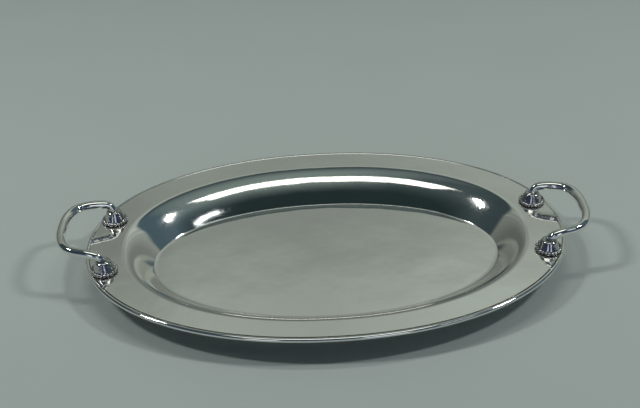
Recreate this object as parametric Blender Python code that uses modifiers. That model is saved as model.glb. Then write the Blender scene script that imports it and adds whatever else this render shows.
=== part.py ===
"""Oval handled tray: a polished sheet-metal body with a wire edge, and two bent
rod handles, each set into a pair of domed bosses that are bolted through the rim.

Units are metres, +Z is up. The origin is the centre of the flat underside that
the tray rests on, +X runs towards one handle and +Y across the tray.
"""

from math import cos, pi, sin

import bmesh
import bpy
from mathutils import Vector

# Tray body, all heights above the table.
SHEET = 0.0012                 # thickness of the drawn sheet
RIM_LENGTH = 0.225             # half length over the wire edge
RIM_WIDTH = 0.149              # half width over the wire edge
RIM_Z = 0.0256                 # top of the rim
RIM_POWER = 2.09               # 2 is an ellipse, more is squarer
WALL_LENGTH = 0.184            # where the wall rolls over into the rim
WALL_WIDTH = 0.119
WALL_POWER = 2.13
WELL_LENGTH = 0.1634           # edge of the flat well
WELL_WIDTH = 0.086
WELL_POWER = 2.05
ROUND_AROUND = 80              # points around every oval

# The wall is steepest beside the well and rolls over gently into the rim. Shares
# of the way out at which it has a section, 1 being the line of the roll-over.
WALL_SHARES = (0.0, 0.035, 0.07, 0.15, 0.27, 0.40, 0.53, 0.66, 0.78, 0.89, 1.0, 1.1)
CORNER_SHARE = 0.07            # taken up by the small curve at the well's edge
ROLL_SHARE = 1.1               # where the slope has died away
ROLL_POWER = 2.4               # how late it does so

# Wire soldered round the edge.
WIRE_RADIUS = 0.00205
GAP = 0.0003                   # left between pieces that touch
EDGE_INSET = 0.0045            # from the outside of the wire to the sheet

# Bosses, each a turned dome in a ring; heights above the rim.
BOSS_X = 0.2027
BOSS_Y = {"left": 0.0402, "right": 0.0391}
RING_OUTER = 0.0124
RING_INNER = 0.0089
RING_TOP = 0.0030
DOME_HEIGHT = {"left": 0.0120, "right": 0.0107}
DOME_FOOT = 0.0033
# Radius and share of the height above the foot, from the top down.
DOME_PROFILE = (
    (0.0045, 1.00), (0.0062, 0.94), (0.0076, 0.80), (0.0085, 0.58), (0.0090, 0.30),
    (0.0094, 0.08), (0.0094, 0.00), (0.0086, 0.00),
)
SPIGOT_RADIUS = 0.0086
SOCKET_RADIUS = 0.0042
SOCKET_FLOOR = 0.0052
TURN_STEPS = 24

# Fixings under the rim.
STUD_RADIUS = 0.0019
DRILL_RADIUS = 0.0022
STUD_TOP = 0.0049
STUD_BELOW = 0.0058
WASHER_RADIUS = 0.0046
WASHER_THICK = 0.0008
NUT_FLATS = 0.0070
NUT_THICK = 0.0026

# Handles. Each was bent by hand, so the pair differ a little.
HANDLE_REACH = {"left": 0.0415, "right": 0.0394}
HANDLE_RISE = {"left": 0.0210, "right": 0.0191}
# Half of the rod from its socket to the middle of the grip: share of the
# reach, share of the boss spacing, share of the rise, rod radius.
HANDLE_STATIONS = (
    (0.00, 1.000, 0.28, 0.0036),
    (0.00, 1.000, 0.46, 0.0036),
    (0.012, 1.010, 0.62, 0.0036),
    (0.07, 1.025, 0.78, 0.0036),
    (0.17, 1.020, 0.88, 0.0036),
    (0.34, 0.985, 0.94, 0.0037),
    (0.54, 0.938, 0.97, 0.0037),
    (0.72, 0.855, 0.985, 0.0038),
    (0.86, 0.700, 1.00, 0.0040),
    (0.955, 0.460, 1.00, 0.0041),
    (0.995, 0.220, 1.00, 0.0041),
    (1.00, 0.000, 1.00, 0.0041),
)
HANDLE_SUBDIVISIONS = 2

SIDES = {"left": -1.0, "right": 1.0}
ENDS = {"front": -1.0, "back": 1.0}


def clear_scene():
    for item in list(bpy.data.objects):
        bpy.data.objects.remove(item, do_unlink=True)


def new_collection(name):
    group = bpy.data.collections.new(name)
    bpy.context.scene.collection.children.link(group)
    return group


def plated_metal(name, colour, roughness):
    material = bpy.data.materials.new(name)
    material.use_nodes = True
    shader = material.node_tree.nodes["Principled BSDF"]
    shader.inputs["Base Color"].default_value = (*colour, 1.0)
    shader.inputs["Metallic"].default_value = 1.0
    shader.inputs["Roughness"].default_value = roughness
    return material


def add_object(name, data, group, material=None):
    item = bpy.data.objects.new(name, data)
    group.objects.link(item)
    if material:
        item.data.materials.append(material)
    return item


def smooth(item):
    item.data.shade_smooth()
    item.data.set_sharp_from_angle(angle=0.6)


def oval(half_length, half_width, power, height, inset=0.0):
    """Points of a superellipse at a height, moved in along its normals."""
    points = []
    for step in range(ROUND_AROUND):
        angle = 2.0 * pi * step / ROUND_AROUND
        across, along = sin(angle), cos(angle)
        x = half_length * abs(along) ** (2.0 / power) * (1 if along >= 0 else -1)
        y = half_width * abs(across) ** (2.0 / power) * (1 if across >= 0 else -1)
        slope = Vector((
            abs(x / half_length) ** (power - 1) / half_length * (1 if x >= 0 else -1),
            abs(y / half_width) ** (power - 1) / half_width * (1 if y >= 0 else -1),
            0.0,
        )).normalized()
        points.append(Vector((x, y, height)) - slope * inset)
    return points


def blend(first, second, share, height):
    """Points part of the way from one oval to another, at a height."""
    mixed = []
    for a, b in zip(first, second):
        point = a.lerp(b, share)
        mixed.append(Vector((point.x, point.y, height)))
    return mixed


def wall_height(share):
    """Height of the sheet's upper face at a share of the way out from the well."""
    steps = 400
    total, reached = 0.0, 0.0
    for step in range(steps):
        out = ROLL_SHARE * (step + 0.5) / steps
        slope = min(out / CORNER_SHARE, 1.0) * (1.0 - (out / ROLL_SHARE) ** ROLL_POWER)
        total += slope
        if out < share:
            reached += slope
    return SHEET + (RIM_Z - SHEET) * reached / total


def lofted_dish(name, sections):
    """Open dish through a list of ovals, with the first one filled."""
    mesh = bpy.data.meshes.new(name)
    form = bmesh.new()
    rings = [[form.verts.new(point) for point in section] for section in sections]
    form.faces.new(rings[0])
    for inner, outer in zip(rings, rings[1:]):
        for step in range(ROUND_AROUND):
            after = (step + 1) % ROUND_AROUND
            form.faces.new((inner[step], outer[step], outer[after], inner[after]))
    bmesh.ops.recalc_face_normals(form, faces=form.faces)
    if form.faces[0].normal.z < 0:
        bmesh.ops.reverse_faces(form, faces=form.faces)
    form.to_mesh(mesh)
    form.free()
    return mesh


def turned(name, profile, place, group, material, steps=TURN_STEPS):
    """Closed profile of (radius, height) turned about a vertical axis."""
    mesh = bpy.data.meshes.new(name)
    form = bmesh.new()
    loop = [form.verts.new((radius, 0.0, height)) for radius, height in profile]
    for first, second in zip(loop, loop[1:] + loop[:1]):
        form.edges.new((first, second))
    form.to_mesh(mesh)
    form.free()
    item = add_object(name, mesh, group, material)
    item.location = place
    screw = item.modifiers.new("turn", "SCREW")
    screw.steps = steps
    screw.render_steps = steps
    screw.use_merge_vertices = True
    screw.merge_threshold = 0.00001
    return item


def prism(name, radius, bottom, top, sides, place, group, material=None):
    """Upright cylinder or, with six sides, a hexagonal bar."""
    mesh = bpy.data.meshes.new(name)
    form = bmesh.new()
    bmesh.ops.create_cone(
        form, cap_ends=True, segments=sides, radius1=radius, radius2=radius,
        depth=top - bottom,
    )
    bmesh.ops.translate(form, verts=form.verts, vec=(0.0, 0.0, (top + bottom) / 2))
    form.to_mesh(mesh)
    form.free()
    item = add_object(name, mesh, group, material)
    item.location = place
    return item


def cut(item, cutter):
    drill = item.modifiers.new("drill", "BOOLEAN")
    drill.operation = "DIFFERENCE"
    drill.object = cutter
    return drill


def tube(name, points, radii, thickest, group, material, closed=False):
    """Round rod along a line of points, with its own radius at each."""
    curve = bpy.data.curves.new(name, "CURVE")
    curve.dimensions = "3D"
    curve.twist_mode = "Z_UP"
    curve.bevel_depth = thickest
    curve.bevel_resolution = 2
    curve.use_fill_caps = not closed
    line = curve.splines.new("POLY")
    line.points.add(len(points) - 1)
    line.use_cyclic_u = closed
    for knot, point, radius in zip(line.points, points, radii):
        knot.co = (*point, 1.0)
        knot.radius = radius / thickest
    return add_object(name, curve, group, material)


def spline_between(values, subdivisions):
    """Catmull-Rom curve through rows of numbers, keeping every row."""
    rows = [Vector(row) for row in values]
    rows = [rows[0] * 2 - rows[1]] + rows + [rows[-1] * 2 - rows[-2]]
    path = []
    for index in range(1, len(rows) - 2):
        before, start, end, after = rows[index - 1:index + 3]
        for step in range(subdivisions):
            t = step / subdivisions
            path.append(0.5 * (
                2 * start + (end - before) * t
                + (2 * before - 5 * start + 4 * end - after) * t * t
                + (3 * start - before - 3 * end + after) * t * t * t
            ))
    path.append(rows[-2])
    return path


def build_tray(group, drills):
    well = oval(WELL_LENGTH, WELL_WIDTH, WELL_POWER, SHEET)
    roll = oval(WALL_LENGTH, WALL_WIDTH, WALL_POWER, RIM_Z)
    edge = oval(RIM_LENGTH, RIM_WIDTH, RIM_POWER, RIM_Z, EDGE_INSET)
    sections = []
    for share in WALL_SHARES:
        height = wall_height(share)
        if share <= 1.0:
            sections.append(blend(well, roll, share, height))
        else:
            sections.append(blend(roll, edge, share - 1.0, height))
    sections.append(edge)
    silver = plated_metal("tray_silver", (0.88, 0.88, 0.86), 0.08)
    tray = add_object("tray_body", lofted_dish("tray_body", sections), group, silver)
    smooth(tray)
    sheet = tray.modifiers.new("sheet", "SOLIDIFY")
    sheet.thickness = SHEET
    sheet.offset = -1.0
    sheet.use_even_offset = True
    for drill in drills:
        cut(tray, drill)

    line = oval(RIM_LENGTH, RIM_WIDTH, RIM_POWER, RIM_Z - WIRE_RADIUS, WIRE_RADIUS)
    tube(
        "rim_edge_wire", line, [WIRE_RADIUS] * len(line), WIRE_RADIUS, group,
        plated_metal("wire_silver", (0.88, 0.88, 0.86), 0.07), closed=True,
    )


def build_boss(tag, side, place, group, drill):
    """Ring, dome, stud, washer and nut at one handle end."""
    ring_profile = (
        (RING_INNER, RING_TOP - 0.0005), (RING_INNER + 0.0009, RING_TOP),
        (RING_OUTER - 0.0010, RING_TOP - 0.0003), (RING_OUTER, RING_TOP * 0.55),
        (RING_OUTER - 0.0005, 0.0007), (RING_OUTER - 0.0014, GAP), (RING_INNER, GAP),
    )
    turned(
        f"boss_ring_{tag}", ring_profile, place, group,
        plated_metal(f"ring_silver_{tag}", (0.80, 0.80, 0.78), 0.16),
    )
    height = DOME_HEIGHT[side] - DOME_FOOT
    dome_profile = [(radius, DOME_FOOT + up * height) for radius, up in DOME_PROFILE]
    dome_profile += [
        (SPIGOT_RADIUS, GAP), (DRILL_RADIUS, GAP), (DRILL_RADIUS, SOCKET_FLOOR),
        (SOCKET_RADIUS, SOCKET_FLOOR),
    ]
    turned(
        f"boss_dome_{tag}", dome_profile, place, group,
        plated_metal(f"dome_silver_{tag}", (0.84, 0.84, 0.82), 0.10),
    )
    prism(
        f"stud_{tag}", STUD_RADIUS, -STUD_BELOW, STUD_TOP, 16, place, group,
        plated_metal(f"stud_brass_{tag}", (0.62, 0.52, 0.32), 0.35),
    )
    washer_top = -SHEET - GAP
    washer_profile = (
        (DRILL_RADIUS, washer_top), (WASHER_RADIUS, washer_top),
        (WASHER_RADIUS, washer_top - WASHER_THICK),
        (DRILL_RADIUS, washer_top - WASHER_THICK),
    )
    turned(
        f"washer_{tag}", washer_profile, place, group,
        plated_metal(f"washer_steel_{tag}", (0.60, 0.60, 0.60), 0.30), steps=16,
    )
    nut_top = washer_top - WASHER_THICK - GAP
    nut = prism(
        f"nut_{tag}", NUT_FLATS / 2 / cos(pi / 6), nut_top - NUT_THICK, nut_top, 6,
        place, group, plated_metal(f"nut_brass_{tag}", (0.66, 0.55, 0.33), 0.35),
    )
    cut(nut, drill)


def build_handle(side, group):
    """Rod from one boss, over the rim's edge, round the grip and back."""
    reach, rise = HANDLE_REACH[side], HANDLE_RISE[side]
    rows = [
        (out * reach, spread * BOSS_Y[side], up * rise, radius)
        for out, spread, up, radius in HANDLE_STATIONS
    ]
    rows += [(x, -y, z, radius) for x, y, z, radius in reversed(rows[:-1])]
    path = spline_between(rows, HANDLE_SUBDIVISIONS)
    points = [
        (SIDES[side] * (BOSS_X + row[0]), row[1], RIM_Z + row[2]) for row in path
    ]
    radii = [row[3] for row in path]
    tube(
        f"handle_{side}", points, radii, max(radii), group,
        plated_metal(f"handle_silver_{side}", (0.86, 0.86, 0.84), 0.09),
    )


def main():
    clear_scene()
    parts = new_collection("handled_tray")
    cutters = new_collection("cutters")
    drills = {}
    for side, x_sign in SIDES.items():
        for end, y_sign in ENDS.items():
            place = Vector((x_sign * BOSS_X, y_sign * BOSS_Y[side], RIM_Z))
            tag = f"{side}_{end}"
            drill = prism(
                f"drill_{tag}", DRILL_RADIUS, -0.009, 0.003, 16, place, cutters,
            )
            drill.hide_render = True
            drill.display_type = "WIRE"
            drills[tag] = drill
            build_boss(tag, side, place, parts, drill)
    build_tray(parts, list(drills.values()))
    for side in SIDES:
        build_handle(side, parts)


main()
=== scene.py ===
"""Oval handled tray in polished silver plate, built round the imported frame.

Laid out as an add-on: sizes and finishes are property groups, each piece or group of
like pieces has an operator, and main() calls them in order.
"""

from math import cos, pi, radians, sin

import bpy
import numpy as np
from mathutils import Matrix, Vector


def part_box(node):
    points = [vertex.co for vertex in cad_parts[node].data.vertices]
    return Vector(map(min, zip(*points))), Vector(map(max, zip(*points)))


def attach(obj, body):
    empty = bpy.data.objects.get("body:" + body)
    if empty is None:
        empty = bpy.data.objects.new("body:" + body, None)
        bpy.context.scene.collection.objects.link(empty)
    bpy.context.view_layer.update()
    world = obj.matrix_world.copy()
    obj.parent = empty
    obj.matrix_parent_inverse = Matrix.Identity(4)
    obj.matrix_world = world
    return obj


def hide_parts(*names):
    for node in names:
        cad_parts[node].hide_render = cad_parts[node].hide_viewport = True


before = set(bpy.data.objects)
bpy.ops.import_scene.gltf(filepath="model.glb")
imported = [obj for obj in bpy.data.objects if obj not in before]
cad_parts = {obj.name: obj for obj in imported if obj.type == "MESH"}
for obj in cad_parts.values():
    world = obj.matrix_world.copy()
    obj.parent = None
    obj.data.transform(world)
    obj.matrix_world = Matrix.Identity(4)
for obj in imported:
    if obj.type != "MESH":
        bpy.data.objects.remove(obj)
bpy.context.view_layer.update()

bl_info = {
    "name": "Handled oval tray",
    "version": (1, 0, 0),
    "blender": (4, 5, 0),
    "location": "View3D > Sidebar > Tray",
    "description": "Builds a polished oval tray with bent rod handles on domed bosses",
    "category": "Add Mesh",
}

SIDES = {"left": -1.0, "right": 1.0}
ENDS = {"front": -1.0, "back": 1.0}
CORNERS = [f"{side}_{end}" for side in SIDES for end in ENDS]


# ---------------------------------------------------------------- sizes from the frame

def corner_box(node):
    low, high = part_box(node)
    return Vector(low), Vector(high)


WIRE_LOW, WIRE_HIGH = corner_box("rim_edge_wire")
RIM_Z = corner_box("tray_body")[1].z


def boss_place(tag):
    """Centre of a boss on the rim's upper face."""
    low, high = corner_box(f"boss_ring_{tag}")
    return Vector(((low.x + high.x) / 2, (low.y + high.y) / 2, RIM_Z))


# ---------------------------------------------------------------- property groups

def length(name, description, default, low=0.0, high=1.0):
    return bpy.props.FloatProperty(
        name=name, description=description, default=default, min=low, max=high,
        unit="LENGTH", precision=4,
    )


def share(name, description, default, low=0.0, high=1.0):
    return bpy.props.FloatProperty(
        name=name, description=description, default=default, min=low, max=high,
        subtype="FACTOR", precision=3,
    )


def colour(name, description, default):
    return bpy.props.FloatVectorProperty(
        name=name, description=description, default=default, size=3, min=0.0, max=1.0,
        subtype="COLOR",
    )


class TraySizes(bpy.types.PropertyGroup):
    """Sizes of the sheet body and its edge wire"""

    rim_length: length(
        "Rim half length", "Centre to the edge wire's outside", WIRE_HIGH.x,
    )
    rim_width: length(
        "Rim half width", "Centre to the edge wire's outside", WIRE_HIGH.y,
    )
    rim_power: share("Rim squareness", "2 is an ellipse", 2.09, 1.5, 4.0)
    wall_length: length("Shoulder half length", "Where the wall rolls over", 0.188)
    wall_width: length("Shoulder half width", "Far side of the wall's roll", 0.119)
    near_width: length("Near shoulder", "Near side of the wall's roll", 0.123)
    wall_power: share("Shoulder squareness", "2 is an ellipse", 2.13, 1.5, 4.0)
    well_length: length("Well half length", "Edge of the flat well", 0.1634)
    well_width: length("Well half width", "Far edge of the flat well", 0.086)
    near_well: length("Near well", "Near edge of the flat well", 0.0905)
    well_power: share("Well squareness", "2 is an ellipse", 2.05, 1.5, 4.0)
    sheet: length("Sheet", "Thickness of the drawn sheet", 0.0012)
    edge_inset: length("Edge inset", "Outside of the wire to the sheet", 0.0041)


class HandleSizes(bpy.types.PropertyGroup):
    """Sizes of the bent rods and the bosses"""

    bead_count: bpy.props.IntProperty(
        name="Beads", description="Beads round each boss ring", default=22, min=8, max=60,
    )
    rod_thick: share("Rod thickness", "Scale of the rod's radius", 1.09, 0.5, 1.5)


class FinishColours(bpy.types.PropertyGroup):
    """Colours of the metals and the floor"""

    silver: colour("Silver plate", "Clean polished plate", (0.90, 0.89, 0.855))
    # Plate of the bosses and rings, painted much darker than the sheet's: painted dark
    # reflection, partly tarnish.
    cast: colour("Cast silver painted dark", "Plate on the cast bosses", (0.52, 0.515, 0.505))
    # Dark colour mixed into hollows by ambient occlusion: partly tarnish, partly painted
    # shade.
    tarnish_and_shade: colour("Tarnish and shade", "Plate darkened in hollows by tarnish and painted shade", (0.30, 0.27, 0.23))
    brass: colour("Brass", "Studs and nuts", (0.60, 0.47, 0.25))
    steel: colour("Steel", "Washers", (0.52, 0.52, 0.52))
    floor: colour("Floor", "Plain pale floor", (0.46, 0.50, 0.48))


# ---------------------------------------------------------------- mesh helpers

MILLIMETRE = 0.001


def make_object(name, points, faces, material, smooth_angle=None):
    mesh = bpy.data.meshes.new(name)
    mesh.from_pydata([tuple(p) for p in points], [], faces)
    mesh.validate()
    mesh.shade_smooth()
    if smooth_angle is not None:
        mesh.set_sharp_from_angle(angle=radians(smooth_angle))
    item = bpy.data.objects.new(name, mesh)
    bpy.context.scene.collection.objects.link(item)
    if material:
        mesh.materials.append(material)
    return item


def grid_faces(rows, around, close_start, close_end, join_rows=False, flip=False):
    """Quads between closed rings of points; the first and last may be filled."""
    faces = []
    last = rows if join_rows else rows - 1
    for row in range(last):
        below, above = row * around, ((row + 1) % rows) * around
        for step in range(around):
            after = (step + 1) % around
            faces.append((below + step, below + after, above + after, above + step))
    if close_start:
        faces.append(tuple(reversed(range(around))))
    if close_end:
        start = (rows - 1) * around
        faces.append(tuple(range(start, start + around)))
    if flip:
        faces = [tuple(reversed(face)) for face in faces]
    return faces


def oval(half_length, half_width, power, around):
    angle = np.linspace(0.0, 2.0 * pi, around, endpoint=False)
    c, s = np.cos(angle), np.sin(angle)
    x = half_length * np.sign(c) * np.abs(c) ** (2.0 / power)
    y = half_width * np.sign(s) * np.abs(s) ** (2.0 / power)
    slope_x = np.sign(x) * np.abs(x / half_length) ** (power - 1) / half_length
    slope_y = np.sign(y) * np.abs(y / half_width) ** (power - 1) / half_width
    size = np.hypot(slope_x, slope_y)
    return np.stack([x, y], 1), np.stack([slope_x / size, slope_y / size], 1)


def smooth_path(rows, subdivisions):
    """Catmull-Rom curve through rows of numbers."""
    rows = np.asarray(rows, float)
    padded = np.vstack([2 * rows[0] - rows[1], rows, 2 * rows[-1] - rows[-2]])
    out = []
    for i in range(1, len(padded) - 2):
        p0, p1, p2, p3 = padded[i - 1:i + 3]
        for step in range(subdivisions):
            t = step / subdivisions
            out.append(0.5 * (
                2 * p1 + (p2 - p0) * t + (2 * p0 - 5 * p1 + 4 * p2 - p3) * t * t
                + (3 * p1 - p0 - 3 * p2 + p3) * t ** 3
            ))
    out.append(padded[-2])
    return np.array(out)


def turned(name, profile, place, material, around=96, joined=False, radius_wave=None):
    """Profile of (radius, height) turned about the vertical, listed bottom to top."""
    angle = np.linspace(0.0, 2.0 * pi, around, endpoint=False)
    points = []
    for index, (radius, height) in enumerate(profile):
        radii = np.full(around, radius)
        lift = np.full(around, height)
        if radius_wave:
            radii, lift = radius_wave(index, angle, radius, height)
        for a, r, z in zip(angle, radii, lift):
            points.append((place.x + r * cos(a), place.y + r * sin(a), place.z + z))
    faces = grid_faces(len(profile), around, not joined, not joined, join_rows=joined)
    return make_object(name, points, faces, material, 50)


# ---------------------------------------------------------------- shader helpers

def new_group(name, inputs, outputs):
    group = bpy.data.node_groups.new(name, "ShaderNodeTree")
    for label, kind, default in inputs:
        socket = group.interface.new_socket(name=label, in_out="INPUT", socket_type=kind)
        socket.default_value = default
    for label, kind in outputs:
        group.interface.new_socket(name=label, in_out="OUTPUT", socket_type=kind)
    nodes = group.nodes
    return group, nodes.new("NodeGroupInput"), nodes.new("NodeGroupOutput")


def add_math(tree, operation, first, second=None, third=None):
    node = tree.nodes.new("ShaderNodeMath")
    node.operation = operation
    for index, value in enumerate((first, second, third)):
        if value is None:
            continue
        if isinstance(value, (int, float)):
            node.inputs[index].default_value = value
        else:
            tree.links.new(value, node.inputs[index])
    return node.outputs[0]


def product(tree, first, second):
    return add_math(tree, "MULTIPLY", first, second)


def map_range(tree, value, from_low, from_high, to_low, to_high):
    node = tree.nodes.new("ShaderNodeMapRange")
    tree.links.new(value, node.inputs["Value"])
    node.inputs["From Min"].default_value = from_low
    node.inputs["From Max"].default_value = from_high
    node.inputs["To Min"].default_value = to_low
    node.inputs["To Max"].default_value = to_high
    return node.outputs["Result"]


def add_noise(tree, vector, scale, detail=2.0, roughness=0.5):
    node = tree.nodes.new("ShaderNodeTexNoise")
    node.inputs["Scale"].default_value = scale
    node.inputs["Detail"].default_value = detail
    node.inputs["Roughness"].default_value = roughness
    tree.links.new(vector, node.inputs["Vector"])
    return node.outputs["Fac"]


SCRATCH_TURNS = (12.0, 71.0, 128.0)     # directions of wiping, in degrees
SCRATCH_STRETCH = (1.0, 0.03, 1.0)      # draws the noise out into lines
SCRATCH_BAND = (0.60, 0.72)             # part of the noise that leaves a line


def polish_marks_group():
    """Fine wiping scratches in three directions, and their height."""
    group, source, sink = new_group(
        "polish_marks",
        [("Vector", "NodeSocketVector", (0.0, 0.0, 0.0)),
         ("Fineness", "NodeSocketFloat", 900.0)],
        [("Height", "NodeSocketFloat"), ("Mask", "NodeSocketFloat")],
    )
    total = None
    for turn in SCRATCH_TURNS:
        mapping = group.nodes.new("ShaderNodeMapping")
        mapping.inputs["Rotation"].default_value = (0.0, 0.0, radians(turn))
        mapping.inputs["Scale"].default_value = SCRATCH_STRETCH
        group.links.new(source.outputs["Vector"], mapping.inputs["Vector"])
        noise = group.nodes.new("ShaderNodeTexNoise")
        noise.inputs["Detail"].default_value = 1.0
        group.links.new(mapping.outputs["Vector"], noise.inputs["Vector"])
        group.links.new(source.outputs["Fineness"], noise.inputs["Scale"])
        line = map_range(group, noise.outputs["Fac"], *SCRATCH_BAND, 0.0, 1.0)
        total = line if total is None else add_math(group, "MAXIMUM", total, line)
    group.links.new(total, sink.inputs["Mask"])
    group.links.new(add_math(group, "MULTIPLY", total, -1.0), sink.inputs["Height"])
    return group


SWELL_SCALE, RIPPLE_SCALE, RIPPLE_SHARE = 16.0, 70.0, 0.12
HAZE_SCALE, HAZE_BAND = 24.0, (0.42, 0.70)


def hand_polish_group():
    """The slow swell left by hammering and buffing, and patchy haze."""
    group, source, sink = new_group(
        "hand_polish",
        [("Vector", "NodeSocketVector", (0.0, 0.0, 0.0)),
         ("Fineness", "NodeSocketFloat", 1.0)],
        [("Height", "NodeSocketFloat"), ("Haze", "NodeSocketFloat")],
    )
    finer = group.nodes.new("ShaderNodeVectorMath")
    finer.operation = "SCALE"
    group.links.new(source.outputs["Vector"], finer.inputs["Vector"])
    group.links.new(source.outputs["Fineness"], finer.inputs["Scale"])
    place = finer.outputs["Vector"]
    swell = add_noise(group, place, SWELL_SCALE, 1.0)
    ripple = add_noise(group, place, RIPPLE_SCALE, 1.0)
    height = add_math(group, "MULTIPLY_ADD", ripple, RIPPLE_SHARE, swell)
    haze = add_noise(group, place, HAZE_SCALE, 5.0, 0.62)
    group.links.new(height, sink.inputs["Height"])
    group.links.new(map_range(group, haze, *HAZE_BAND, 0.0, 1.0), sink.inputs["Haze"])
    return group


MOTTLE_SCALE, HOLLOW_BAND = 420.0, (0.25, 0.85)


def hollow_tarnish_and_shade_group():
    """How far a place is down in a hollow, broken up by a fine mottle: the mask that
    paints shade, partly standing for tarnish, into hollows.
    """
    group, source, sink = new_group(
        "hollow_tarnish_and_shade",
        [("Vector", "NodeSocketVector", (0.0, 0.0, 0.0)),
         ("Reach", "NodeSocketFloat", 0.002)],
        [("Mask", "NodeSocketFloat")],
    )
    # Ambient occlusion finds the hollows that light reaches less; darkening them there is
    # painted shade.
    shade = group.nodes.new("ShaderNodeAmbientOcclusion")
    shade.samples = 8
    group.links.new(source.outputs["Reach"], shade.inputs["Distance"])
    mottle = add_noise(group, source.outputs["Vector"], MOTTLE_SCALE, 3.0)
    depth = add_math(group, "SUBTRACT", 1.0, shade.outputs["AO"])
    depth = product(group, depth, add_math(group, "ADD", mottle, 0.6))
    group.links.new(map_range(group, depth, *HOLLOW_BAND, 0.0, 1.0), sink.inputs["Mask"])
    return group


# What haze, scratches and the darkened hollows add to a metal's roughness.
HAZE_ROUGH, SCRATCH_ROUGH, HOLLOW_ROUGH = 0.6, 0.03, 0.35


def metal(name, clean, tarnish_and_shade_colour, roughness, swell, scratches, tarnish_and_shade, reach=0.002,
          fineness=1.0):
    """Polished metal with swell, scratches, haze, and hollows darkened partly by tarnish,
    partly by painted shade.
    """
    material = bpy.data.materials.new(name)
    material.use_nodes = True
    tree = material.node_tree
    shader = tree.nodes["Principled BSDF"]
    shader.inputs["Metallic"].default_value = 1.0
    place = tree.nodes.new("ShaderNodeTexCoord").outputs["Object"]
    groups = {}
    for label in ("polish_marks", "hand_polish", "hollow_tarnish_and_shade"):
        node = tree.nodes.new("ShaderNodeGroup")
        node.node_tree = bpy.data.node_groups[label]
        tree.links.new(place, node.inputs["Vector"])
        groups[label] = node
    groups["hollow_tarnish_and_shade"].inputs["Reach"].default_value = reach
    mark, polish = groups["polish_marks"], groups["hand_polish"]
    polish.inputs["Fineness"].default_value = fineness

    # Hollows are mixed towards the dark colour: painted shade from ambient occlusion,
    # partly tarnish.
    mix = tree.nodes.new("ShaderNodeMix")
    mix.data_type = "RGBA"
    mix.inputs["A"].default_value = (*clean, 1.0)
    mix.inputs["B"].default_value = (*tarnish_and_shade_colour, 1.0)
    mask = product(tree, groups["hollow_tarnish_and_shade"].outputs["Mask"], tarnish_and_shade)
    tree.links.new(mask, mix.inputs["Factor"])
    tree.links.new(mix.outputs["Result"], shader.inputs["Base Color"])

    rough = add_math(tree, "MULTIPLY_ADD", polish.outputs["Haze"],
                     roughness * HAZE_ROUGH, roughness)
    rough = add_math(tree, "MULTIPLY_ADD", mark.outputs["Mask"], SCRATCH_ROUGH, rough)
    rough = add_math(tree, "MULTIPLY_ADD", mask, HOLLOW_ROUGH, rough)
    tree.links.new(rough, shader.inputs["Roughness"])

    wave = tree.nodes.new("ShaderNodeBump")
    wave.inputs["Distance"].default_value = swell
    wave.inputs["Strength"].default_value = 1.0
    tree.links.new(polish.outputs["Height"], wave.inputs["Height"])
    line = tree.nodes.new("ShaderNodeBump")
    line.inputs["Distance"].default_value = scratches
    line.inputs["Strength"].default_value = 1.0
    tree.links.new(mark.outputs["Height"], line.inputs["Height"])
    tree.links.new(wave.outputs["Normal"], line.inputs["Normal"])
    tree.links.new(line.outputs["Normal"], shader.inputs["Normal"])
    return material


def settings():
    scene = bpy.context.scene
    return scene.tray_sizes, scene.handle_sizes, scene.finish_colours


# ---------------------------------------------------------------- operators

# How late the wall's slope dies away into the shoulder: it was sunk by hand, and is
# rounder on the far side than on the near one.
WALL_POWERS = {"near": 4.0, "far": 1.3}
SHOULDER_END = 1.10      # share of the way out where the slope has gone
FILLET_END = 0.022       # share of the way out taken by the well's corner
WELL_RINGS = (0.4, 0.7, 0.9, 0.98)      # shares of the flat well with a ring of points
BODY_AROUND = 480        # points in each ring of the body
WALL_KINDS = 9           # wall shapes worked out between the near and the far one


def wall_heights(shares, power):
    """Share of the wall's height at each share of the way out."""
    fine = np.linspace(0.0, 2.0, 4001)
    slope = np.clip(fine / FILLET_END, 0.0, 1.0)
    slope = slope * np.clip(1.0 - (np.clip(fine, 0, SHOULDER_END) / SHOULDER_END)
                            ** power, 0.0, None)
    height = np.concatenate([[0.0], np.cumsum((slope[1:] + slope[:-1]) / 2)])
    return np.interp(shares, fine, height / height[-1])


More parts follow.
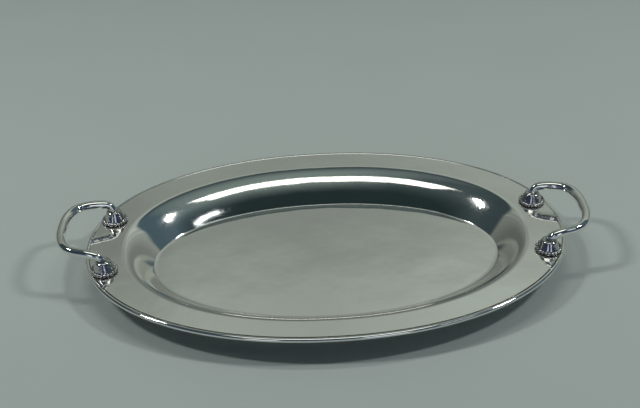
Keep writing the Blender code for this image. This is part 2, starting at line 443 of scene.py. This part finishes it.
class TRAY_OT_body(bpy.types.Operator):
    """Drawn sheet body: flat well, curved wall and wide rim"""

    bl_idname = "tray.body"
    bl_label = "Tray body"

    def execute(self, context):
        size, _, finish = settings()
        around = BODY_AROUND
        well, _ = oval(size.well_length, size.well_width, size.well_power, around)
        well[:, 1] *= np.where(well[:, 1] < 0.0, size.near_well / size.well_width, 1.0)
        roll, _ = oval(size.wall_length, size.wall_width, size.wall_power, around)
        roll[:, 1] *= np.where(roll[:, 1] < 0.0, size.near_width / size.wall_width, 1.0)
        edge, out = oval(size.rim_length, size.rim_width, size.rim_power, around)
        edge = edge - out * size.edge_inset
        shares = np.concatenate([
            np.linspace(0.0, 0.10, 13), np.linspace(0.10, 1.14, 53)[1:],
            np.linspace(1.14, 2.0, 15)[1:],
        ])
        far = np.sin(np.linspace(0.0, 2.0 * pi, around, endpoint=False))
        far = np.clip((far + 0.1) / 0.9, 0.0, 1.0)
        far = far * far * (3.0 - 2.0 * far)
        kinds = np.linspace(0.0, 1.0, WALL_KINDS)
        rounder = WALL_POWERS["far"] - WALL_POWERS["near"]
        table = np.array([wall_heights(shares, WALL_POWERS["near"] + kind * rounder)
                          for kind in kinds])
        heights = np.array([np.interp(far, kinds, column) for column in table.T])
        heights = size.sheet + (RIM_Z - size.sheet) * heights
        rows = [np.column_stack([well * k, np.full(around, size.sheet)])
                for k in WELL_RINGS]
        for out_share, height in zip(shares, heights):
            wall, rim = min(out_share, 1.0), max(out_share - 1.0, 0.0)
            flat = well + (roll - well) * wall + (edge - roll) * rim
            rows.append(np.column_stack([flat, height]))
        top = np.array(rows)
        across = np.gradient(top, axis=0)
        along = np.roll(top, -1, axis=1) - np.roll(top, 1, axis=1)
        normal = np.cross(across, along)
        normal /= np.linalg.norm(normal, axis=2, keepdims=True)
        under = top - normal * size.sheet
        under[:len(WELL_RINGS), :, 2] = 0.0
        skin = np.concatenate([top, under[::-1]])
        points = skin.reshape(-1, 3)
        faces = grid_faces(len(skin), around, True, True, flip=True)
        silver = metal("tray_silver", finish.silver, finish.tarnish_and_shade, roughness=0.06,
                       swell=0.0006, scratches=0.000005, tarnish_and_shade=0.55, reach=0.003)
        body = make_object("tray", points, faces, silver, 40)
        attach(body, "root")
        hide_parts("tray_body")
        return {"FINISHED"}


WIRE_SQUARENESS = 2.2    # 2 is round; the wire is worn a little flat
WIRE_AROUND, WIRE_SIDES = 640, 32


class TRAY_OT_wire(bpy.types.Operator):
    """Rounded wire soldered round the rim's edge"""

    bl_idname = "tray.wire"
    bl_label = "Edge wire"

    def execute(self, context):
        size, _, finish = settings()
        around, sides = WIRE_AROUND, WIRE_SIDES
        radius = (WIRE_HIGH.z - WIRE_LOW.z) / 2
        line, out = oval(size.rim_length, size.rim_width, size.rim_power, around)
        middle = WIRE_LOW.z + radius
        rows = []
        for step in range(sides):
            turn = 2.0 * pi * step / sides
            across, up = cos(turn), sin(turn)
            across, up = (np.sign(v) * abs(v) ** (2.0 / WIRE_SQUARENESS)
                          for v in (across, up))
            flat = line - out * radius * (1.0 - across)
            rows.append(np.column_stack([flat, np.full(around, middle + radius * up)]))
        points = np.array(rows).reshape(-1, 3)
        faces = grid_faces(sides, around, False, False, join_rows=True)
        silver = metal("wire_silver", finish.silver, finish.tarnish_and_shade, roughness=0.045,
                       swell=0.0002, scratches=0.000004, tarnish_and_shade=0.8, reach=0.0015)
        wire = make_object("edge_wire", points, faces, silver, 40)
        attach(wire, "root")
        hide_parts("rim_edge_wire")
        return {"FINISHED"}


# Half of a rod from its socket to the middle of the grip: share of the reach,
# share of the boss spacing, share of the rise, radius in millimetres.
ROD_STATIONS = (
    (0.00, 1.000, 0.28, 3.6), (0.00, 1.000, 0.46, 3.6), (0.012, 1.010, 0.62, 3.6),
    (0.07, 1.025, 0.78, 3.6), (0.17, 1.020, 0.88, 3.6), (0.34, 0.985, 0.94, 3.7),
    (0.54, 0.938, 0.97, 3.7), (0.72, 0.855, 0.985, 3.8), (0.86, 0.700, 1.00, 4.0),
    (0.955, 0.460, 1.00, 4.1), (0.995, 0.220, 1.00, 4.1), (1.00, 0.000, 1.00, 4.1),
)
GRIP_RADIUS = 0.0041     # of the solid rod at the middle of the grip
ROD_SIDES = 28


class TRAY_OT_handles(bpy.types.Operator):
    """Bent rod handles, one at each end"""

    bl_idname = "tray.handles"
    bl_label = "Handles"

    def execute(self, context):
        _, size, finish = settings()
        silver = metal("handle_silver", finish.silver, finish.tarnish_and_shade, roughness=0.045,
                       swell=0.00012, scratches=0.000005, tarnish_and_shade=0.8, reach=0.0025)
        for side, sign in SIDES.items():
            low, high = corner_box(f"handle_{side}")
            boss = boss_place(f"{side}_back")
            far = max(abs(low.x), abs(high.x))
            reach = far - GRIP_RADIUS - abs(boss.x)
            rise = high.z - GRIP_RADIUS - RIM_Z
            rows = [(a * reach, b * boss.y, c * rise, r * MILLIMETRE * size.rod_thick)
                    for a, b, c, r in ROD_STATIONS]
            rows += [(x, -y, z, r) for x, y, z, r in reversed(rows[:-1])]
            path = smooth_path(rows, 10)
            centre = np.column_stack([boss.x + sign * path[:, 0], path[:, 1],
                                      RIM_Z + path[:, 2]])
            along = np.gradient(centre, axis=0)
            along /= np.linalg.norm(along, axis=1, keepdims=True)
            sides = ROD_SIDES
            points, frame_side = [], np.array([1.0, 0.0, 0.0])
            for middle, ahead, radius in zip(centre, along, path[:, 3]):
                frame_side = frame_side - ahead * frame_side.dot(ahead)
                frame_side /= np.linalg.norm(frame_side)
                frame_up = np.cross(ahead, frame_side)
                for step in range(sides):
                    turn = 2.0 * pi * step / sides
                    points.append(middle + radius * (frame_side * cos(turn)
                                                     + frame_up * sin(turn)))
            faces = grid_faces(len(path), sides, True, True)
            rod = make_object(f"{side}_handle", points, faces, silver, 60)
            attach(rod, "root")
            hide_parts(f"handle_{side}")
        return {"FINISHED"}


# Radius in millimetres and share of the height above the foot, from the foot up.
DOME_STATIONS = (
    (9.7, 0.00), (9.4, 0.08), (9.05, 0.20), (8.45, 0.40), (7.85, 0.60), (7.25, 0.80),
    (6.7, 0.92), (5.9, 0.985), (5.0, 1.00), (4.2, 1.00), (3.3, 0.99),
)
DOME_FOOT = 0.0034       # height of the dome's foot above the rim
# Radius and height of the neck below the foot, which stands inside the ring.
DOME_NECK = ((0.0085, 0.0003), (0.0086, 0.0024), (0.0089, 0.0032))
BEAD_RADIUS = 0.00168
BEAD_NECK = 0.30         # thinnest place between two beads, as a share of the radius
BEAD_STEPS, BEAD_SIDES = 14, 18


class TRAY_OT_bosses(bpy.types.Operator):
    """Domed bosses that the rods are set into"""

    bl_idname = "tray.bosses"
    bl_label = "Bosses"

    def execute(self, context):
        _, _, finish = settings()
        # Plate painted dark for the dark reflections of the domes, partly tarnish.
        silver = metal("dome_silver", finish.cast, finish.tarnish_and_shade, roughness=0.04,
                       swell=0.00035, scratches=0.000004, tarnish_and_shade=0.9, reach=0.0025,
                       fineness=9.0)
        for tag in CORNERS:
            place = boss_place(tag)
            top = corner_box(f"boss_dome_{tag}")[1].z - RIM_Z
            rise = top - DOME_FOOT
            rows = [(r * MILLIMETRE, DOME_FOOT + up * rise) for r, up in DOME_STATIONS]
            profile = [*DOME_NECK, *(tuple(row) for row in smooth_path(rows, 6))]
            dome = turned(f"{tag}_dome", profile, place, silver)
            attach(dome, "root")
            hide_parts(f"boss_dome_{tag}")
        return {"FINISHED"}


class TRAY_OT_rings(bpy.types.Operator):
    """Beaded wire rings soldered round the foot of each boss"""

    bl_idname = "tray.rings"
    bl_label = "Beaded rings"

    def execute(self, context):
        _, size, finish = settings()
        # Plate painted dark for the dark reflections of the beads, partly tarnish; their
        # necks get painted shade.
        silver = metal("ring_silver", finish.cast, finish.tarnish_and_shade, roughness=0.17,
                       swell=0.00010, scratches=0.000004, tarnish_and_shade=1.0, fineness=12.0)
        beads = size.bead_count
        steps, sides = BEAD_STEPS, BEAD_SIDES
        for tag in CORNERS:
            place = boss_place(tag)
            low, high = corner_box(f"boss_ring_{tag}")
            middle = (high.x - low.x) / 2 - BEAD_RADIUS
            height = low.z - RIM_Z + BEAD_RADIUS
            points = []
            for step in range(beads * steps):
                turn = 2.0 * pi * step / (beads * steps)
                offset = ((step + steps / 2) % steps - steps / 2) / steps
                arc = offset * 2.0 * pi * middle / beads
                thick = max(BEAD_RADIUS ** 2 - arc ** 2, 0.0) ** 0.5
                thick = max(thick, BEAD_RADIUS * BEAD_NECK)
                for side in range(sides):
                    lean = 2.0 * pi * side / sides
                    out = middle + thick * cos(lean)
                    points.append((place.x + out * cos(turn), place.y + out * sin(turn),
                                   RIM_Z + height + thick * sin(lean)))
            faces = grid_faces(beads * steps, sides, False, False, join_rows=True,
                               flip=True)
            ring = make_object(f"{tag}_ring", points, faces, silver, 70)
            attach(ring, "root")
            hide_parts(f"boss_ring_{tag}")
        return {"FINISHED"}


THREAD_PITCH = 0.0007
THREAD_DEPTH = 0.00035
DRILLED = 0.0022         # radius of the hole through washers and nuts
WASHER_EDGE = 0.00015    # chamfer on a washer's rim
NUT_CHAMFER = 0.0004


class TRAY_OT_fixings(bpy.types.Operator):
    """Threaded studs, washers and nuts under the rim"""

    bl_idname = "tray.fixings"
    bl_label = "Fixings"

    def execute(self, context):
        _, _, finish = settings()
        brass = metal("fixing_brass", finish.brass, finish.tarnish_and_shade, roughness=0.22,
                      swell=0.00002, scratches=0.00001, tarnish_and_shade=0.9)
        steel = metal("fixing_steel", finish.steel, finish.tarnish_and_shade, roughness=0.28,
                      swell=0.00002, scratches=0.00001, tarnish_and_shade=0.8)

        def helix(index, angle, radius, height):
            wave = np.abs(((height / THREAD_PITCH + angle / (2.0 * pi)) % 1.0) * 2 - 1)
            return radius - THREAD_DEPTH * wave, np.full(len(angle), height)

        for tag in CORNERS:
            place = boss_place(tag)
            place.z = 0.0
            low, high = corner_box(f"stud_{tag}")
            radius = (high.x - low.x) / 2
            heights = np.arange(low.z + 0.0003, high.z, THREAD_PITCH / 6)
            profile = [(radius * 0.72, low.z)] + [(radius, z) for z in heights]
            stud = turned(f"{tag}_stud", profile, place, brass, around=24,
                          radius_wave=helix)

            low, high = corner_box(f"washer_{tag}")
            outer, bore, edge = (high.x - low.x) / 2, DRILLED, WASHER_EDGE
            profile = [(bore, low.z), (outer - edge, low.z), (outer, low.z + edge),
                       (outer, high.z - edge), (outer - edge, high.z), (bore, high.z)]
            washer = turned(f"{tag}_washer", profile, place, steel, around=48,
                            joined=True)

            low, high = corner_box(f"nut_{tag}")
            flat = min(high.x - low.x, high.y - low.y) / 2
            turned_six = high.x - low.x < high.y - low.y

            def hexagon(index, angle, radius, height, flat=flat, shifted=turned_six):
                start = 0.0 if shifted else pi / 6
                across = (angle + start + pi / 6) % (pi / 3) - pi / 6
                return (np.minimum(radius, flat / np.cos(across)),
                        np.full(len(angle), height))

            profile = [(bore, low.z), (bore + 0.0002, low.z), (flat * 0.97, low.z),
                       (flat * 1.16, low.z + NUT_CHAMFER),
                       (flat * 1.16, high.z - NUT_CHAMFER),
                       (flat * 0.97, high.z), (bore, high.z)]
            nut = turned(f"{tag}_nut", profile, place, brass, around=48, joined=True,
                         radius_wave=hexagon)
            for piece, node, slot in ((stud, "stud", "stud_brass"),
                                      (washer, "washer", "washer_steel"),
                                      (nut, "nut", "nut_brass")):
                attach(piece, "root")
                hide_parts(f"{node}_{tag}")
        return {"FINISHED"}


class TRAY_OT_stage(bpy.types.Operator):
    """Plain pale floor, soft studio lights and the camera"""

    bl_idname = "tray.stage"
    bl_label = "Stage"

    def execute(self, context):
        _, _, finish = settings()
        make_floor(finish.floor)
        make_lights()
        make_world()
        make_camera()
        context.scene.view_settings.view_transform = "Standard"
        return {"FINISHED"}


FLOOR_REACH = 6.0
FLOOR_DROP = 0.0002      # keeps the floor clear of the tray's flat foot


def make_floor(tint):
    material = bpy.data.materials.new("floor")
    material.use_nodes = True
    tree = material.node_tree
    shader = tree.nodes["Principled BSDF"]
    shader.inputs["Roughness"].default_value = 0.75
    shader.inputs["Specular IOR Level"].default_value = 0.2
    place = tree.nodes.new("ShaderNodeTexCoord").outputs["Object"]
    mix = tree.nodes.new("ShaderNodeMix")
    mix.data_type = "RGBA"
    mix.inputs["A"].default_value = (*[v * 0.97 for v in tint], 1.0)
    mix.inputs["B"].default_value = (*[v * 1.03 for v in tint], 1.0)
    tree.links.new(add_noise(tree, place, 9.0, 4.0), mix.inputs["Factor"])
    tree.links.new(mix.outputs["Result"], shader.inputs["Base Color"])
    clear = tree.nodes.new("ShaderNodeBsdfTransparent")
    side = tree.nodes.new("ShaderNodeNewGeometry")
    blend = tree.nodes.new("ShaderNodeMixShader")
    tree.links.new(side.outputs["Backfacing"], blend.inputs["Fac"])
    tree.links.new(shader.outputs["BSDF"], blend.inputs[1])
    tree.links.new(clear.outputs["BSDF"], blend.inputs[2])
    tree.links.new(blend.outputs["Shader"],
                   tree.nodes["Material Output"].inputs["Surface"])
    points = [(x * FLOOR_REACH, y * FLOOR_REACH, -FLOOR_DROP)
              for x, y in ((-1, -1), (1, -1), (1, 1), (-1, 1))]
    floor = make_object("floor", points, [(0, 1, 2, 3)], material)


LIGHT_HEIGHT = 1.5
# Centre on the ceiling, length and depth, power in watts, colour, and whether the lamp
# lights the floor, shows in the reflections, or both.
LIGHTS = {
    "strip": ((0.02, -0.15), (1.05, 0.34), 2.2, (1.0, 1.0, 0.94), "reflections"),
    "floor_strip": ((0.0, 0.33), (0.90, 0.06), 3.8, (1.0, 1.0, 0.94), "floor"),
    "right_panel": ((1.24, -0.05), (0.33, 0.14), 10.8, (0.96, 1.0, 0.98), "both"),
    "left_panel": ((-1.20, 0.0), (0.36, 0.14), 11.6, (0.96, 1.0, 0.98), "both"),
    "back_panel": ((1.20, -1.00), (0.55, 0.14), 0.8, (0.90, 0.97, 1.0), "both"),
}


def make_lights():
    for name, ((x, y), (wide, deep), power, tint, use) in LIGHTS.items():
        data = bpy.data.lights.new(name, "AREA")
        data.shape = "RECTANGLE"
        data.size, data.size_y = wide, deep
        data.energy = power
        data.color = tint
        lamp = bpy.data.objects.new(name, data)
        lamp.location = (x, y, LIGHT_HEIGHT)
        lamp.rotation_euler = Vector((0, 0, -1)).to_track_quat("-Z", "Y").to_euler()
        lamp.visible_camera = False
        lamp.visible_glossy = use != "floor"
        lamp.visible_diffuse = use != "reflections"
        bpy.context.scene.collection.objects.link(lamp)


def ramp(tree, value, stops):
    """Colour ramp of greys through (position, grey) stops."""
    node = tree.nodes.new("ShaderNodeValToRGB")
    points = node.color_ramp.elements
    while len(points) < len(stops):
        points.new(0.5)
    for point, (position, grey) in zip(points, stops):
        point.position = position
        point.color = (grey, grey, grey, 1.0)
    tree.links.new(value, node.inputs["Fac"])
    return node.outputs["Color"]


def blend_colour(tree, factor, first, second):
    node = tree.nodes.new("ShaderNodeMix")
    node.data_type = "RGBA"
    for value, label in ((first, "A"), (second, "B")):
        if isinstance(value, tuple):
            node.inputs[label].default_value = (*value, 1.0)
        else:
            tree.links.new(value, node.inputs[label])
    tree.links.new(factor, node.inputs["Factor"])
    return node.outputs["Result"]


# Brightness of the pale screen behind the tray by sine of elevation, and how it
# varies from its left edge to its right.
SCREEN_UP = (
    (0.0, 0.13), (0.20, 0.15), (0.40, 0.22), (0.478, 0.235), (0.486, 0.258),
    (0.494, 0.318), (0.503, 0.325), (0.52, 0.275), (0.566, 0.246), (0.598, 0.286),
    (0.628, 0.345), (0.656, 0.356), (0.70, 0.33), (0.84, 0.32),
)
SCREEN_ACROSS = (
    (0.05, 0.85), (0.20, 0.82), (0.28, 0.88), (0.36, 1.08), (0.50, 1.0),
    (0.62, 1.12), (0.70, 1.28), (0.95, 1.34),
)
SCREEN_TINT = (0.885, 1.0, 0.916, 1.0)
CEILING_LEFT, CEILING_RIGHT = (0.036, 0.054, 0.060), (0.062, 0.100, 0.122)
CEILING_GLOW = (0.17, 0.22, 0.21)
BEHIND, LOW_BEHIND = (0.016, 0.028, 0.029), (0.045, 0.060, 0.125)
PANE_COLOUR = (0.80, 0.86, 0.95)
PANES = ((-0.35, 0.09), (0.30, 0.12))   # middle and half width, as x over distance
SEEN_COLOUR = (0.31, 0.345, 0.33)


def make_world():
    """A pale screen beyond the tray, pale low walls, and a dim ceiling and room."""
    world = bpy.data.worlds.new("studio")
    bpy.context.scene.world = world
    world.use_nodes = True
    tree = world.node_tree
    back = tree.nodes["Background"]
    place = tree.nodes.new("ShaderNodeTexCoord").outputs["Generated"]
    split = tree.nodes.new("ShaderNodeSeparateXYZ")
    tree.links.new(place, split.inputs["Vector"])
    x, y, z = split.outputs

    # Dim ceiling, bluer to the right and paler overhead; nearly black behind the
    # viewer, and dark blue low down there.
    lift = add_math(tree, "MULTIPLY_ADD", y, -0.12, product(tree, z, 0.993))
    glow = product(tree, map_range(tree, lift, 0.72, 0.95, 0.0, 1.0),
                   map_range(tree, x, -0.22, 0.0, 0.15, 1.0))
    room = blend_colour(tree, map_range(tree, x, 0.08, 0.40, 0.0, 1.0),
                        CEILING_LEFT, CEILING_RIGHT)
    room = blend_colour(tree, glow, room, CEILING_GLOW)
    behind = map_range(tree, add_math(tree, "MULTIPLY_ADD", z, 0.35, y), -0.25, 0.05,
                       1.0, 0.0)
    room = blend_colour(tree, behind, room, BEHIND)
    low_behind = map_range(tree, add_math(tree, "MULTIPLY_ADD", z, 1.3, y), -0.1, 0.0,
                           1.0, 0.0)
    room = blend_colour(tree, low_behind, room, LOW_BEHIND)

    # Two tall narrow soft boxes low behind the viewer.
    away = add_math(tree, "MAXIMUM", product(tree, y, -1.0), 0.05)
    aside = add_math(tree, "DIVIDE", x, away)
    for middle, wide in PANES:
        offset = add_math(tree, "ABSOLUTE", add_math(tree, "SUBTRACT", aside, middle))
        pane = product(tree, map_range(tree, offset, wide, wide + 0.03, 1.0, 0.0),
                       map_range(tree, z, 0.0, 0.03, 0.0, 1.0))
        pane = product(tree, pane, map_range(tree, z, 0.44, 0.50, 1.0, 0.0))
        pane = product(tree, pane, map_range(tree, y, -0.3, -0.2, 1.0, 0.0))
        room = blend_colour(tree, pane, room, PANE_COLOUR)

    # Screen, bounded above and at both sides, and pale low walls beyond and beside
    # the tray.
    above = map_range(tree, add_math(tree, "MULTIPLY_ADD", z, -0.85, y), -0.03, 0.04,
                      0.0, 1.0)
    width = add_math(tree, "MULTIPLY_ADD", y, 2.1,
                     product(tree, add_math(tree, "ABSOLUTE", x), -1.0))
    within = map_range(tree, width, -0.08, 0.12, 0.0, 1.0)
    screen = product(tree, above, within)
    low = product(tree, map_range(tree, z, 0.06, 0.12, 1.0, 0.0),
                  map_range(tree, y, -0.30, -0.05, 0.0, 1.0))
    mask = add_math(tree, "MAXIMUM", screen, low)
    across = add_math(tree, "DIVIDE", x, add_math(tree, "MAXIMUM", y, 0.2))
    across = map_range(tree, across, -0.5, 0.5, 0.0, 1.0)
    grey, tint = (tree.nodes.new("ShaderNodeMix") for _ in range(2))
    for node in (grey, tint):
        node.data_type = "RGBA"
        node.blend_type = "MULTIPLY"
        node.inputs["Factor"].default_value = 1.0
    tree.links.new(ramp(tree, z, SCREEN_UP), grey.inputs["A"])
    tree.links.new(ramp(tree, across, SCREEN_ACROSS), grey.inputs["B"])
    tree.links.new(grey.outputs["Result"], tint.inputs["A"])
    tint.inputs["B"].default_value = SCREEN_TINT
    light = blend_colour(tree, mask, room, tint.outputs["Result"])

    # Seen directly, plain and pale.
    seen = tree.nodes.new("ShaderNodeLightPath").outputs["Is Camera Ray"]
    light = blend_colour(tree, seen, light, SEEN_COLOUR)
    tree.links.new(light, back.inputs["Color"])
    back.inputs["Strength"].default_value = 1.0


CAMERA_PLACE = (-0.01407, -0.81867, 0.61276)
CAMERA_TARGET = (-0.00267, 0.08972, 0.0)
CAMERA_ROLL = -2.344     # degrees
CAMERA_LENS, CAMERA_SENSOR = 60.1, 36.0     # millimetres


def make_camera():
    data = bpy.data.cameras.new("camera")
    data.lens = CAMERA_LENS
    data.sensor_width = CAMERA_SENSOR
    camera = bpy.data.objects.new("camera", data)
    place, target = Vector(CAMERA_PLACE), Vector(CAMERA_TARGET)
    turn = (target - place).to_track_quat("-Z", "Y").to_matrix()
    turn = turn @ Matrix.Rotation(radians(CAMERA_ROLL), 3, "Z")
    camera.matrix_world = Matrix.Translation(place) @ turn.to_4x4()
    bpy.context.scene.collection.objects.link(camera)
    bpy.context.scene.camera = camera


# ---------------------------------------------------------------- panel and main

OPERATORS = (TRAY_OT_body, TRAY_OT_wire, TRAY_OT_handles, TRAY_OT_bosses,
             TRAY_OT_rings, TRAY_OT_fixings, TRAY_OT_stage)


class TRAY_PT_panel(bpy.types.Panel):
    """Lists the tray's pieces"""

    bl_idname = "TRAY_PT_panel"
    bl_label = "Handled tray"
    bl_space_type = "VIEW_3D"
    bl_region_type = "UI"
    bl_category = "Tray"

    def draw(self, context):
        for operator in OPERATORS:
            self.layout.operator(operator.bl_idname)


GROUPS = {"tray_sizes": TraySizes, "handle_sizes": HandleSizes,
          "finish_colours": FinishColours}


def register():
    for item in (*GROUPS.values(), *OPERATORS, TRAY_PT_panel):
        bpy.utils.register_class(item)
    for name, group in GROUPS.items():
        setattr(bpy.types.Scene, name, bpy.props.PointerProperty(type=group))


def unregister():
    for name in GROUPS:
        delattr(bpy.types.Scene, name)
    for item in (TRAY_PT_panel, *reversed(OPERATORS), *reversed(list(GROUPS.values()))):
        bpy.utils.unregister_class(item)


def main():
    register()
    polish_marks_group()
    hand_polish_group()
    hollow_tarnish_and_shade_group()
    bpy.ops.tray.body()
    bpy.ops.tray.wire()
    bpy.ops.tray.handles()
    bpy.ops.tray.bosses()
    bpy.ops.tray.rings()
    bpy.ops.tray.fixings()
    bpy.ops.tray.stage()


if __name__ == "__main__":
    main()
